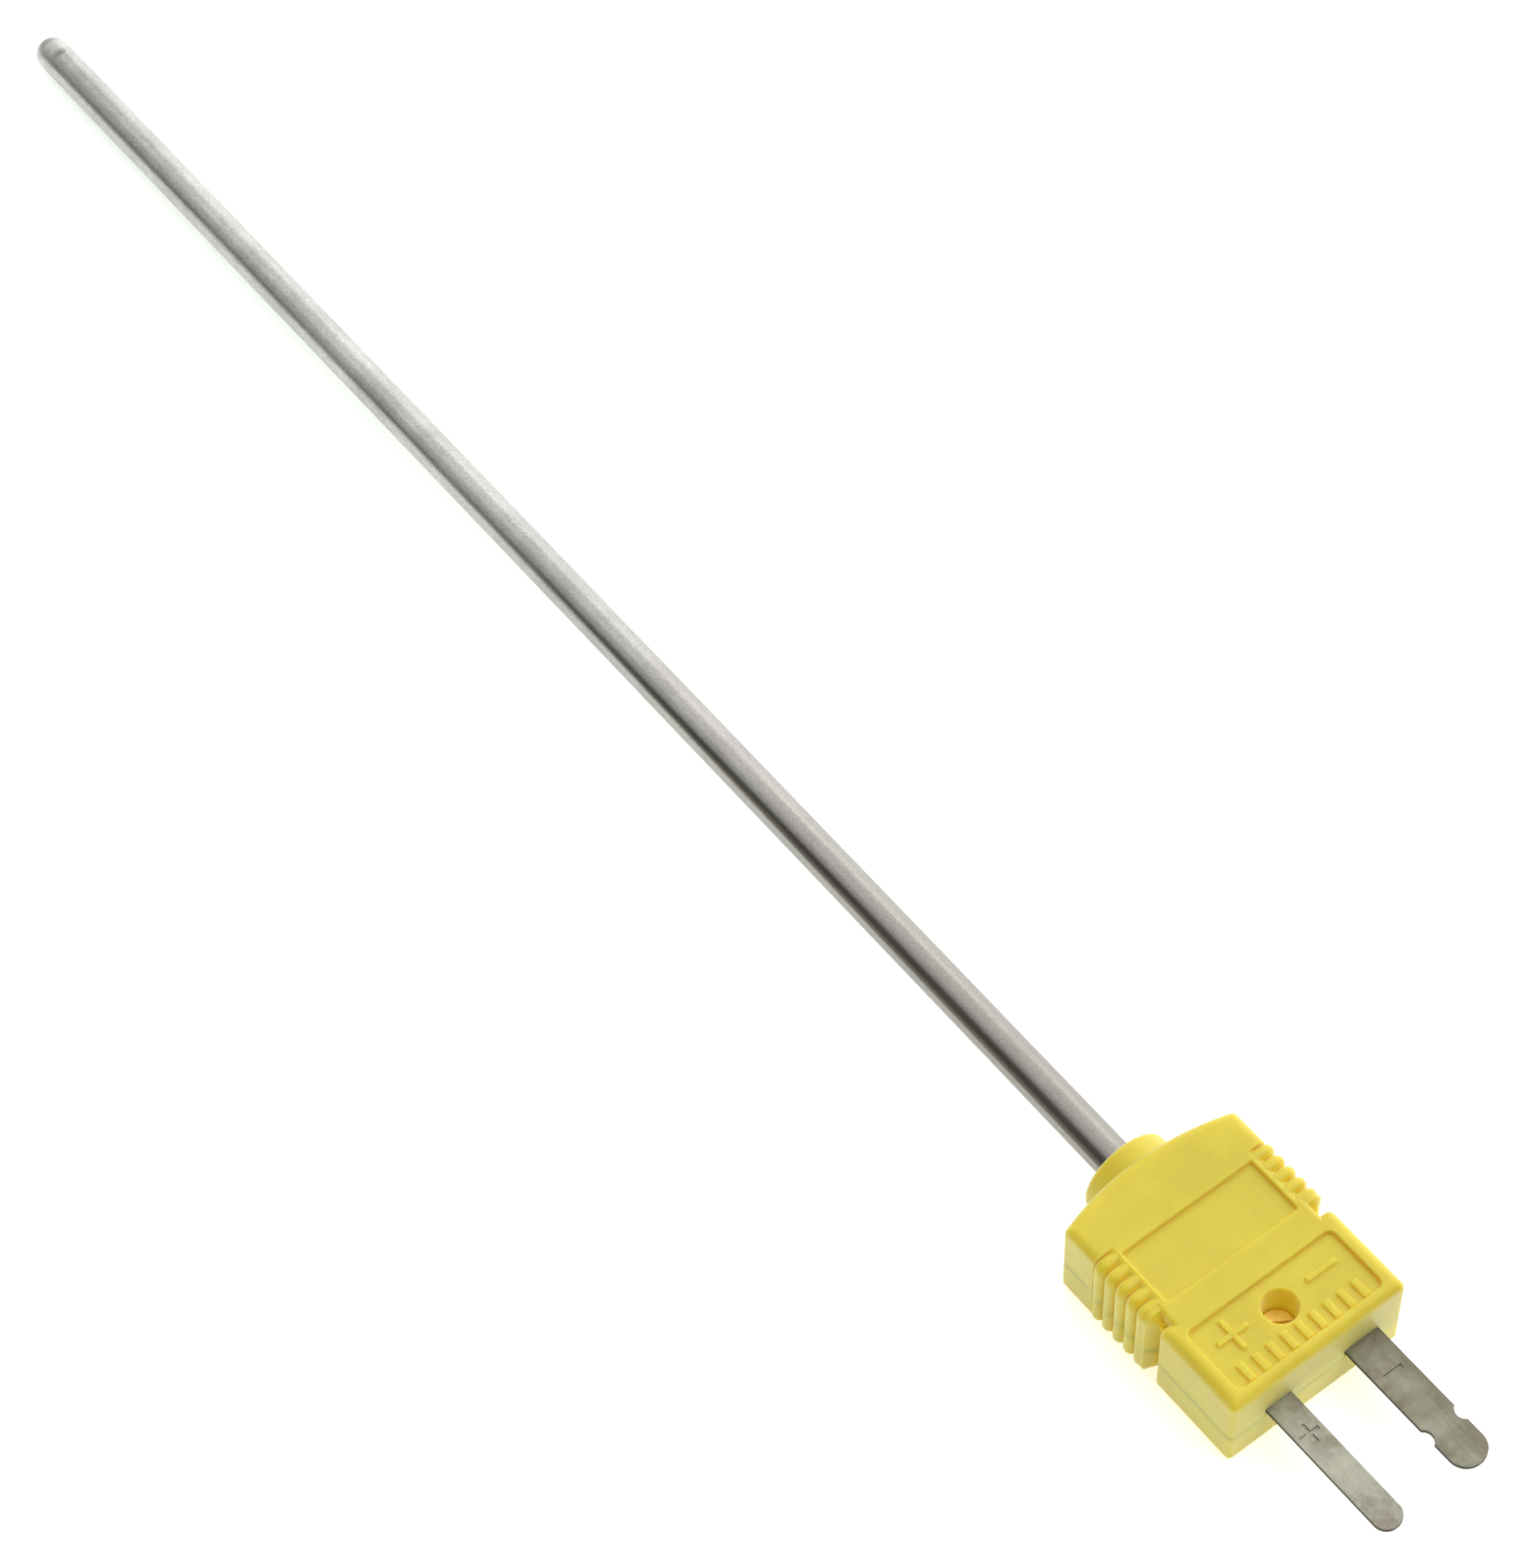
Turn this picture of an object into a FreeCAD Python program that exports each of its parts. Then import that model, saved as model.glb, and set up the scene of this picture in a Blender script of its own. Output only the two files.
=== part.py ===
import FreeCAD, Part
import Sketcher
import math
import os
import re

# Quick-disconnect thermocouple probe: a mineral-insulated metal-sheathed probe with a two-blade
# plug moulded from two half shells on its cold end.
#
# Frame, in millimetres: the probe's axis is X and the probe points to -X, the blades leave the plug
# towards +X, the wide (negative) blade is on the +Y side, and +Z is out of the marked face. The
# origin is on the probe's axis at the collar's rear end face, where the sheath enters the plug.

TOUCH = 1e-4      # two lengths closer than this, in millimetres, count as the same
LEAST_CUT = 1e-6  # a cut must remove more than this, in cubic millimetres

SIZES = [
    # probe
    ("probe_radius", 1.5875, "outside radius of the sheath"),
    ("probe_length", 152.4, "length of sheath outside the plug"),
    ("sheath_bore", 1.2375, "inside radius of the sheath"),
    ("sheath_end", 5.0, "where the sheath ends inside the plug"),
    ("tip_wall", 0.6, "thickness of the closed tip on the axis"),
    ("seat_radius", 1.4, "outside radius of the sheath's turned-down end inside the plug"),
    ("shoulder_gap", 0.02, "gap between the sheath's shoulder and the collar's face"),
    ("core_gap", 0.01, "gap between the packed core and what it touches"),
    ("core_end", 3.9, "where the insulation stops and the seal starts"),
    ("wire_radius", 0.25, "radius of each alloy wire"),
    ("wire_offset", 0.6, "distance of each wire from the probe's axis"),
    ("bead_radius", 1.0, "radius of the weld bead"),
    ("bead_length", 0.8, "length of the weld bead"),
    ("bead_setback", 2.6, "distance of the bead's rear face from the tip"),
    ("seal_end", 5.7, "where the epoxy seal ends"),
    ("seal_round", 0.4, "edge radius of the seal's end"),
    # plug outside
    ("plug_width", 16.4, "width of the nose and of the rear block"),
    ("plug_height", 8.1, "thickness of the closed plug"),
    ("parting_level", -0.8, "level of the joint between the two shells"),
    ("base_edge_round", 0.5, "radius of the plug's bottom edges"),
    ("block_lap", 0.4, "how far neighbouring blocks of the plug run into each other"),
    ("rear_apex", 1.65, "where the plug's rounded rear end starts on the axis"),
    ("rear_corner", 3.0, "where the rear end meets the sides"),
    ("rear_corner_round", 0.5, "radius of the rear corners in plan"),
    ("rear_edge_round", 0.8, "radius of the rear block's top edges"),
    ("rib_start", 6.37, "where the ribs start"),
    ("rib_pitch", 1.18, "spacing of the finger ribs"),
    ("rib_count", 5, "number of ribs on each side"),
    ("rib_crest", 8.46, "distance of the rib crests from the middle"),
    ("rib_nose", 0.56, "radius of a rib's rounded crest"),
    ("rib_depth", 1.6, "depth of a rib's profile, well into the core"),
    ("rib_roll", 0.95, "radius with which a rib bends over the edge"),
    ("rib_sink", 0.03, "how far the bent ribs stay under the flat faces"),
    ("valley_floor", 7.68, "half width of the plug in the valleys between the ribs"),
    ("valley_side", 2.3, "half height of the valleys' upright part"),
    ("valley_round", 2.1, "radius with which the valleys curve up to the flat faces"),
    ("valley_end", 6.4, "distance from the middle at which the valleys run out"),
    ("slope_start", 12.36, "where the last rib's front slope starts"),
    ("slope_top", 0.06, "how far below the rib's crest the slope starts"),
    ("slope_lean", 0.62, "how far the slope runs forward for each millimetre it falls"),
    ("neck_half_width", 7.1, "half width at the bottom of the groove behind the nose"),
    ("neck_edge_round", 0.45, "edge radius of the groove's floor"),
    ("nose_start", 13.5, "rear face of the nose"),
    ("plug_front", 21.7, "front face that the blades leave"),
    ("nose_corner_round", 0.45, "radius of the nose's corners in plan"),
    ("nose_edge_round", 0.85, "radius of the nose's top edges"),
    ("collar_radius", 3.75, "radius of the round boss at the rear end"),
    ("collar_edge_round", 0.5, "radius of the boss's rim"),
    ("collar_end", 3.2, "where the boss ends, inside the plug"),
    ("overrun", 0.1, "how far a cut starts or ends beyond what it cuts"),
    # marked face
    ("recess_depth", 0.4, "depth of both recesses in the marked face"),
    ("rim_round", 0.12, "radius of the rims of the recesses and of the screw well"),
    ("window_start", 7.1, "rear edge of the write-on recess"),
    ("window_end", 12.2, "front edge of the write-on recess"),
    ("window_half_width", 6.2, "half width of the write-on recess"),
    ("window_corner_round", 0.15, "corner radius of the write-on recess"),
    ("face_start", 14.9, "rear edge of the nose recess"),
    ("face_end", 20.7, "front edge of the nose recess"),
    ("face_half_width", 6.9, "half width of the nose recess"),
    ("face_corner_round", 0.6, "corner radius of the nose recess"),
    ("mark_height", 0.23, "how far the marks stand out of the recess"),
    ("mark_stroke", 0.45, "width of the marks' strokes"),
    ("mark_edge_round", 0.1, "radius of the marks' upper edges"),
    ("mark_place", 16.95, "where the two polarity marks stand along the plug"),
    ("mark_offset", 4.2, "distance of the polarity marks from the middle"),
    ("mark_length", 2.8, "length of the polarity marks' strokes"),
    ("bar_place", 19.8, "where the row of plain bars stands"),
    ("bar_length", 1.6, "length of each bar, along the plug"),
    ("bar_stroke", 0.6, "width of each bar"),
    ("bar_pitch", 1.35, "spacing of the bars"),
    ("bar_count", 9, "number of bars"),
    # screw well
    ("well_place", 17.3, "where the screw well is"),
    ("well_radius", 1.4, "radius of the screw well"),
    ("cover_head_radius", 1.36, "radius of the cover screw's head"),
    ("cover_head_top", 0.95, "level of the top of the cover screw's head"),
    ("cover_head_seat", -0.25, "level of the shelf that the head sits on"),
    ("cover_head_round", 0.2, "edge radius of the cover screw's head"),
    ("cover_slot_width", 0.45, "width of the slot in the cover screw"),
    ("cover_slot_depth", 0.55, "depth of that slot"),
    ("cover_slot_turn", 55.0, "where the slot stopped when the screw was tightened, in degrees"),
    ("cover_shank_radius", 1.0, "radius of the cover screw's shank"),
    ("cover_shank_end", -3.0, "level of the end of that shank"),
    ("cover_hole_radius", 1.1, "radius of the hole through the shelf"),
    ("screw_chamfer", 0.15, "chamfer at the end of the screws' shanks"),
    ("insert_radius", 1.6, "radius of the threaded insert"),
    ("insert_top", -0.95, "level of the insert's upper end"),
    ("insert_bottom", -3.25, "level of the insert's lower end"),
    ("insert_groove", 0.2, "depth and half width of the groove round the insert"),
    # blades
    ("blade_thickness", 0.4, "thickness of both blades"),
    ("blade_spacing", 7.92, "distance between the blades' centre lines"),
    ("blade_shift", 0.25, "how far the pair of blades sits off centre, towards the wide one"),
    ("blade_reach", 12.45, "how far the blades stand out of the plug"),
    ("positive_width", 2.39, "width of the positive blade"),
    ("negative_width", 3.18, "width of the negative blade"),
    ("positive_tip_round", 1.1, "corner radius of the positive blade's end"),
    ("negative_tip_round", 1.5, "corner radius of the negative blade's end"),
    ("notch_place", 8.7, "distance of the notches from the plug's front face"),
    ("notch_radius", 0.8, "radius of the notches' arc"),
    ("notch_depth", 0.4, "depth of the notches"),
    ("pad_start", 7.3, "rear end of the blades' terminal pads"),
    ("pad_end", 11.9, "front end of the terminal pads"),
    ("pad_width", 4.2, "width of the terminal pads"),
    ("stamp_place", 25.0, "where the blades' polarity marks are stamped"),
    ("stamp_length", 1.7, "length of the stamped strokes"),
    ("stamp_stroke", 0.3, "width of the stamped strokes"),
    ("stamp_depth", 0.1, "depth of the stamped strokes"),
    ("slot_gap", 0.05, "gap between a blade and the shells round it"),
    # terminals
    ("terminal_place", 9.6, "where the terminal screws are"),
    ("terminal_head_radius", 1.8, "radius of a terminal screw's head"),
    ("terminal_head_round", 0.2, "edge radius of a terminal screw's head"),
    ("terminal_head_height", 1.3, "height of a terminal screw's head"),
    ("terminal_shank_radius", 1.0, "radius of a terminal screw's shank"),
    ("terminal_shank_top", 1.5, "level of the end of that shank"),
    ("terminal_slot_width", 0.45, "width of the slot in a terminal screw"),
    ("terminal_slot_depth", 0.6, "depth of that slot"),
    ("thread_gap", 0.02, "gap in the screws' threads"),
    ("washer_radius", 2.0, "radius of a terminal washer"),
    ("washer_bore", 1.1, "radius of the washer's hole"),
    ("washer_thickness", 0.3, "thickness of a washer"),
    ("washer_top", -0.7, "level of the washers' upper faces, which press on the wires"),
    ("wire_stop", 11.2, "where each wire ends, beside its terminal screw"),
    ("bend_radius", 1.2, "radius of the wires' bends"),
    ("wire_lead", 0.35, "how far each wire's bends stand off the seal and the washer's rim"),
    ("sleeving_radius", 0.42, "outside radius of the sleeving on a wire"),
    ("sleeving_bore", 0.27, "inside radius of that sleeving"),
    ("sleeving_length", 1.6, "length of that sleeving"),
    # hollows in the shells
    ("seat_gap", 0.02, "gap round the sheath and its sleeve in the shells"),
    ("sleeve_start", 2.7, "rear end of the crimp sleeve"),
    ("sleeve_end", 4.6, "front end of the crimp sleeve"),
    ("sleeve_radius", 2.3, "outside radius of the crimp sleeve"),
    ("sleeve_waist", 0.2, "depth of the swaged waist round the sleeve"),
    ("waist_reach", 0.4, "half length of that waist"),
    ("wire_room_start", 4.7, "rear end of the room that the wires cross"),
    ("wire_room_end", 8.2, "front end of that room"),
    ("wire_room_half_width", 3.4, "half width of that room"),
    ("wire_room_half_height", 1.9, "half height of that room"),
    ("terminal_room_start", 7.2, "rear end of each terminal's room"),
    ("terminal_room_end", 12.0, "front end of each terminal's room"),
    ("terminal_room_inner", 1.75, "inner side of each terminal's room"),
    ("terminal_room_outer", 6.15, "outer side of each terminal's room"),
    ("terminal_room_floor", -2.8, "level of the floor of each terminal's room"),
    ("shank_room_radius", 1.25, "radius of the room above each terminal screw"),
    ("shank_room_top", 1.9, "level of the top of that room"),
]

doc = FreeCAD.newDocument("thermocouple_probe")
sheet = doc.addObject("Spreadsheet::Sheet", "Dimensions")


# ---------------------------------------------------------------------------------------------
# Working with the sheet
# ---------------------------------------------------------------------------------------------

def fill_sheet():
    """Put every driving dimension in the sheet, one row each: name, value and meaning."""
    for row, (alias, number, meaning) in enumerate(SIZES, start=1):
        sheet.set(f"A{row}", alias)
        sheet.set(f"B{row}", str(number))
        sheet.set(f"C{row}", meaning)
        sheet.setAlias(f"B{row}", alias)
    doc.recompute()


def formula(text):
    """Turn each of the sheet's aliases in a formula into a reference to its cell."""
    return re.sub(r"[a-z]\w*", lambda word: "Dimensions." + word.group(), text)


def size(text):
    """The present value of a formula made of aliases."""
    return float(sheet.evalExpression(formula(text)))


def bind(feature, property_name, text):
    """Drive a property of a feature by a formula made of aliases."""
    feature.setExpression(property_name, formula(text))


# ---------------------------------------------------------------------------------------------
# Sketches and features
# ---------------------------------------------------------------------------------------------

def new_body(label):
    """A sub-part of its own, with the label that names its file."""
    body = doc.addObject("PartDesign::Body", label)
    body.Label = label
    return body


def new_sketch(body, name, plane, offset="0"):
    """A sketch on one of the body's own origin planes, moved along the plane's normal."""
    sketch = body.newObject("Sketcher::SketchObject", name)
    base = next(item for item in body.Origin.OriginFeatures if item.Role == plane + "_Plane")
    sketch.AttachmentSupport = [(base, "")]
    sketch.MapMode = "FlatFace"
    bind(sketch, "AttachmentOffset.Base.z", offset)
    return sketch


def pin_point(sketch, geometry, end, across, up):
    """Fix one end of a piece of geometry at a place given by two formulas."""
    for kind, text in (("DistanceX", across), ("DistanceY", up)):
        number = sketch.addConstraint(Sketcher.Constraint(kind, -1, 1, geometry, end, size(text)))
        bind(sketch, f"Constraints[{number}]", text)


def arc_between(start, end, radius, turn):
    """The shorter arc from start to end; turn is 1 for anticlockwise and -1 for clockwise."""
    chord = end - start
    side = FreeCAD.Vector(-chord.y, chord.x, 0).normalize()
    height = math.sqrt(max(radius ** 2 - (chord.Length / 2) ** 2, 0))
    centre = (start + end) / 2 + side * height * turn
    first, last = (start, end) if turn > 0 else (end, start)
    angles = [math.atan2(point.y - centre.y, point.x - centre.x) for point in (first, last)]
    if angles[1] < angles[0]:
        angles[1] += 2 * math.pi
    return Part.ArcOfCircle(Part.Circle(centre, FreeCAD.Vector(0, 0, 1), radius), *angles)


def draw_outline(sketch, *corners):
    """Draw a closed outline. A corner is (across, up), or (across, up, radius, turn) where the
    side that leads to it is an arc."""
    points = [FreeCAD.Vector(size(corner[0]), size(corner[1]), 0) for corner in corners]
    sides = []
    for index, corner in enumerate(corners):
        if len(corner) == 2:
            side = sketch.addGeometry(Part.LineSegment(points[index - 1], points[index]))
            sides.append((side, 1, 2))
        else:
            arc = arc_between(points[index - 1], points[index], size(corner[2]), corner[3])
            side = sketch.addGeometry(arc)
            sides.append((side, 1, 2) if corner[3] > 0 else (side, 2, 1))
    for index, (side, _, end) in enumerate(sides):
        following, start, _ = sides[(index + 1) % len(sides)]
        sketch.addConstraint(Sketcher.Constraint("Coincident", side, end, following, start))
        pin_point(sketch, side, end, corners[index][0], corners[index][1])
        if len(corners[index]) > 2:
            radius = Sketcher.Constraint("Radius", side, size(corners[index][2]))
            number = sketch.addConstraint(radius)
            bind(sketch, f"Constraints[{number}]", corners[index][2])


def draw_box(sketch, left, right, low, high):
    """Draw a rectangle between two places across and two places up."""
    draw_outline(sketch, (right, low), (right, high), (left, high), (left, low))


def draw_round_box(sketch, left, right, low, high, radius):
    """Draw a rectangle with rounded corners."""
    draw_outline(
        sketch,
        (f"{right} - {radius}", low), (right, f"{low} + {radius}", radius, 1),
        (right, f"{high} - {radius}"), (f"{right} - {radius}", high, radius, 1),
        (f"{left} + {radius}", high), (left, f"{high} - {radius}", radius, 1),
        (left, f"{low} + {radius}"), (f"{left} + {radius}", low, radius, 1))


def draw_circle(sketch, across, up, radius):
    """Draw a circle."""
    centre = FreeCAD.Vector(size(across), size(up), 0)
    circle = sketch.addGeometry(Part.Circle(centre, FreeCAD.Vector(0, 0, 1), size(radius)))
    pin_point(sketch, circle, 3, across, up)
    number = sketch.addConstraint(Sketcher.Constraint("Radius", circle, size(radius)))
    bind(sketch, f"Constraints[{number}]", radius)


def pad(sketch, name, length, symmetric=False):
    """Grow a sketch along its normal, or both ways."""
    feature = sketch.getParentGeoFeatureGroup().newObject("PartDesign::Pad", name)
    feature.Profile = sketch
    feature.SideType = "Symmetric" if symmetric else "One side"
    bind(feature, "Length", length)
    sketch.Visibility = False
    return feature


def pocket(sketch, name, length, symmetric=False):
    """Cut a sketch against its normal, or both ways, and check that it removes something."""
    body = sketch.getParentGeoFeatureGroup()
    doc.recompute()
    before = body.Shape.Volume
    feature = body.newObject("PartDesign::Pocket", name)
    feature.Profile = sketch
    feature.SideType = "Symmetric" if symmetric else "One side"
    bind(feature, "Length", length)
    doc.recompute()
    if body.Shape.Volume > before - LEAST_CUT:
        raise RuntimeError(f"{body.Label}: {name} cuts nothing")
    return feature


def revolve(sketch, name, axis, angle=360.0):
    """Turn a sketch about one of its own lines, such as H_Axis, or about a construction line."""
    feature = sketch.getParentGeoFeatureGroup().newObject("PartDesign::Revolution", name)
    feature.Profile = sketch
    feature.ReferenceAxis = (sketch, [axis])
    feature.Angle = angle
    return feature


def round_edges(body, name, radius, chosen):
    """Fillet the edges of the body's present shape whose box passes a test."""
    doc.recompute()
    base = body.Tip
    edges = [f"Edge{number}" for number, edge in enumerate(base.Shape.Edges, start=1)
             if chosen(edge.BoundBox)]
    feature = body.newObject("PartDesign::Fillet", name)
    feature.Base = (base, edges)
    bind(feature, "Radius", radius)
    doc.recompute()
    if "Invalid" in feature.State:
        raise RuntimeError(f"{body.Label}: {name} can't be made")


def is_level(box, height):
    """Whether an edge's box lies flat at a height."""
    return abs(box.ZMin - height) < TOUCH and abs(box.ZMax - height) < TOUCH


# ---------------------------------------------------------------------------------------------
# The plug's outer form, which both shells share
# ---------------------------------------------------------------------------------------------

def add_rear_block(body):
    """The smooth block behind the ribs, with its rounded rear end."""
    sketch = new_sketch(body, "RearPlan", "XY")
    arc = "((plug_width / 2)^2 + (rear_corner - rear_apex)^2) / (2 * (rear_corner - rear_apex))"
    draw_outline(
        sketch,
        ("rear_corner", "-plug_width / 2", arc, 1),
        ("rib_start", "-plug_width / 2"),
        ("rib_start", "plug_width / 2"),
        ("rear_corner", "plug_width / 2"))
    pad(sketch, "RearBlock", "plug_height", symmetric=True)
    rear, front, top = size("rear_corner"), size("rib_start"), size("plug_height / 2")
    round_edges(body, "RearCorners", "rear_corner_round",
                lambda box: box.ZLength > top and abs(box.XMax - rear) < TOUCH)
    for name, radius, level in (("RearTopEdges", "rear_edge_round", top),
                                ("RearBottomEdges", "base_edge_round", -top)):
        round_edges(body, name, radius,
                    lambda box: is_level(box, level) and box.XMin < front - TOUCH)


def add_core(body):
    """The block that the ribs stand on. Its corners are curved, so the valleys between the ribs
    climb the edge and run out on the flat faces."""
    sketch = new_sketch(body, "CoreSection", "YZ", "rib_start - block_lap")
    side, top, curve = "valley_side", "plug_height / 2", "valley_round"
    draw_outline(
        sketch,
        ("valley_floor", f"-{side}", curve, 1),
        ("valley_floor", side),
        ("valley_end", top, curve, 1),
        ("-valley_end", top),
        ("-valley_floor", side, curve, 1),
        ("-valley_floor", f"-{side}"),
        ("-valley_end", f"-{top}", curve, 1),
        ("valley_end", f"-{top}"))
    pad(sketch, "Core", "rib_pitch * rib_count + block_lap")


def add_neck(body):
    """The narrower block at the bottom of the groove behind the nose. It runs on into the nose
    until their top faces are level."""
    start = "rib_start + rib_pitch * rib_count - block_lap"
    sketch = new_sketch(body, "NeckSection", "YZ", start)
    draw_round_box(sketch, "-neck_half_width", "neck_half_width",
                   "-plug_height / 2", "plug_height / 2", "neck_edge_round")
    pad(sketch, "Neck", f"nose_start + nose_edge_round + block_lap - ({start})")


def rib_outline(sketch, side, crest, depth):
    """One rib's profile: a slab with a round crest. side is '' or '-', for the way it faces."""
    middle = "(rib_start + rib_pitch / 2)"
    foot = f"{side}({crest} - {depth})"
    shoulder = f"{side}({crest} - rib_nose)"
    turn = -1 if side else 1
    draw_outline(
        sketch,
        (f"{middle} - rib_nose", foot),
        (f"{middle} + rib_nose", foot),
        (f"{middle} + rib_nose", shoulder),
        (middle, f"{side}({crest})", "rib_nose", turn),
        (f"{middle} - rib_nose", shoulder, "rib_nose", turn))


def slope_outline(sketch, side, crest, depth):
    """The profile of the slope that falls from the last rib's crest to the groove's floor."""
    last = "rib_start + rib_pitch * (rib_count - 0.5)"
    foot = f"{side}({crest} - {depth})"
    top = f"{side}({crest} - slope_top)"
    draw_outline(
        sketch,
        (last, foot),
        (f"slope_start + ({depth} - slope_top) * slope_lean", foot),
        ("slope_start", top),
        (last, top))


def bend_over_edge(body, name, outline, side, level):
    """Turn an outline through a quarter circle over one long edge of the plug."""
    bend = new_sketch(body, name + "Plan", "XY",
                      f"{level}(plug_height / 2 - rib_sink - rib_roll)")
    outline(bend, side, "rib_crest", "rib_roll")
    pivot = f"{side}(rib_crest - rib_roll)"
    line = bend.addGeometry(Part.LineSegment(
        FreeCAD.Vector(size("rib_start"), size(pivot), 0),
        FreeCAD.Vector(size("nose_start"), size(pivot), 0)), True)
    pin_point(bend, line, 1, "rib_start", pivot)
    pin_point(bend, line, 2, "nose_start", pivot)
    turned = revolve(bend, name, "Axis0", 90.0)
    turned.Reversed = (side == "") == (level == "-")
    return turned


def wrap_round(body, name, outline):
    """Run an outline right round the plug: up both sides, over the edges and across the faces."""
    features = []
    for side, side_name in (("", "Left"), ("-", "Right")):
        upright = new_sketch(body, f"{name}{side_name}Plan", "XY")
        outline(upright, side, "rib_crest", "rib_depth")
        features.append(pad(upright, f"{name}{side_name}",
                            "plug_height - 2 * (rib_sink + rib_roll)", symmetric=True))
        for level, level_name in (("", "Top"), ("-", "Bottom")):
            features.append(bend_over_edge(body, f"{name}{side_name}{level_name}", outline,
                                           side, level))
    for level, level_name in (("", "Top"), ("-", "Bottom")):
        across = new_sketch(body, f"{name}{level_name}Plan", "XZ")
        outline(across, level, "plug_height / 2 - rib_sink", "rib_depth")
        features.append(pad(across, f"{name}{level_name}", "2 * (rib_crest - rib_roll)",
                            symmetric=True))
    return features


def add_ribs(body):
    """The finger ribs on both sides, and the slope in front of the last one."""
    ribs = wrap_round(body, "Rib", rib_outline)
    doc.recompute()
    pattern = body.newObject("PartDesign::LinearPattern", "Ribs")
    pattern.Originals = ribs
    pattern.Direction = (ribs[0].Profile[0], ["H_Axis"])
    pattern.Mode = "Spacing"
    bind(pattern, "Offset", "rib_pitch")
    bind(pattern, "Occurrences", "rib_count")
    body.Tip = pattern
    wrap_round(body, "Slope", slope_outline)


def add_nose(body):
    """The nose, rounded on its own so that its radii meet only its own faces."""
    sketch = new_sketch(body, "NosePlan", "XY")
    draw_box(sketch, "nose_start", "plug_front", "-plug_width / 2", "plug_width / 2")
    pad(sketch, "Nose", "plug_height", symmetric=True)
    start, top = size("nose_start"), size("plug_height / 2")
    round_edges(body, "NoseCorners", "nose_corner_round",
                lambda box: box.ZLength > top and box.XMin > start - TOUCH)
    for name, radius, level in (("NoseTopEdges", "nose_edge_round", top),
                                ("NoseBottomEdges", "base_edge_round", -top)):
        round_edges(body, name, radius,
                    lambda box: is_level(box, level) and box.XMin > start - TOUCH)


def add_collar(body):
    """The round boss at the rear end, with a rounded rim."""
    sketch = new_sketch(body, "CollarSection", "XY")
    edge = "collar_edge_round"
    draw_outline(
        sketch,
        ("0", "0"),
        ("0", f"collar_radius - {edge}"),
        (edge, "collar_radius", edge, -1),
        ("collar_end", "collar_radius"),
        ("collar_end", "0"))
    revolve(sketch, "Collar", "H_Axis")
    doc.recompute()


def outer_form(body):
    """The closed plug as one solid, from which each shell keeps its own half."""
    add_rear_block(body)
    add_nose(body)
    add_core(body)
    add_neck(body)
    add_ribs(body)
    add_collar(body)


def keep_half(body, upper):
    """Cut away the other shell's half at the parting level."""
    level = "parting_level" if upper else "plug_height"
    depth = "plug_height" if upper else "plug_height - parting_level"
    sketch = new_sketch(body, "OtherHalf", "XY", level)
    draw_box(sketch, "-overrun", "plug_front + overrun", "-plug_width", "plug_width")
    pocket(sketch, "Parting", depth)


# ---------------------------------------------------------------------------------------------
# The shells' hollows
# ---------------------------------------------------------------------------------------------

POLES = (("positive", "-"), ("negative", ""))


def blade_line(side):
    """The middle line of the blade on one side."""
    return f"({side}blade_spacing / 2 + blade_shift)"


def cut_box(body, name, left, right, low, high, top, bottom):
    """Cut a square-cornered room between two levels."""
    sketch = new_sketch(body, name + "Plan", "XY", top)
    draw_box(sketch, left, right, low, high)
    pocket(sketch, name, f"({top}) - ({bottom})")


def cut_well(body, name, across, up, radius, top, bottom):
    """Cut a round room between two levels."""
    sketch = new_sketch(body, name + "Plan", "XY", top)
    draw_circle(sketch, across, up, radius)
    pocket(sketch, name, f"({top}) - ({bottom})")


def cut_screw_well(body):
    """The well for the cover screw's head, with a softened rim, and the hole for its shank."""
    cut_well(body, "ScrewWell", "well_place", "0", "well_radius", "plug_height / 2",
             "cover_head_seat")
    floor = size("plug_height / 2 - recess_depth")
    centre = FreeCAD.Vector(size("well_place"), 0, floor)
    round_edges(body, "WellRim", "rim_round",
                lambda box: is_level(box, floor) and box.Center.isEqual(centre, TOUCH))
    cut_well(body, "ScrewHole", "well_place", "0", "cover_hole_radius",
             "cover_head_seat + overrun", "parting_level - overrun")


def cut_probe_seat(body):
    """The bore for the sheath and the wider seat that traps the crimp sleeve."""
    bore = new_sketch(body, "BorePlan", "YZ", "wire_room_start + overrun")
    draw_circle(bore, "0", "0", "seat_radius + seat_gap")
    pocket(bore, "Bore", "wire_room_start + 2 * overrun")
    seat = new_sketch(body, "SeatPlan", "YZ", "sleeve_end + seat_gap")
    draw_circle(seat, "0", "0", "sleeve_radius + seat_gap")
    pocket(seat, "Seat", "sleeve_end - sleeve_start + 2 * seat_gap")


def cut_wire_room(body):
    """The room in which the two wires spread from the seal to the terminals."""
    cut_box(body, "WireRoom", "wire_room_start", "wire_room_end", "-wire_room_half_width",
            "wire_room_half_width", "wire_room_half_height", "-wire_room_half_height")


def cut_terminal_rooms(body, top, bottom):
    """A room for each blade's terminal pad, with a wall between the two."""
    for pole, side in POLES:
        near, far = f"{side}terminal_room_inner", f"{side}terminal_room_outer"
        low, high = (far, near) if side else (near, far)
        cut_box(body, pole.title() + "Room", "terminal_room_start", "terminal_room_end",
                f"{low} + blade_shift", f"{high} + blade_shift", top, bottom)


def cut_blade_slots(body):
    """The slots in the upper shell in which the blades lie."""
    for pole, side in POLES:
        middle = blade_line(side)
        half = f"({pole}_width / 2 + slot_gap)"
        cut_box(body, pole.title() + "Slot", "terminal_room_end - overrun",
                "plug_front + overrun", f"{middle} - {half}", f"{middle} + {half}",
                "blade_thickness / 2 + slot_gap", "parting_level - overrun")


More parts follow.
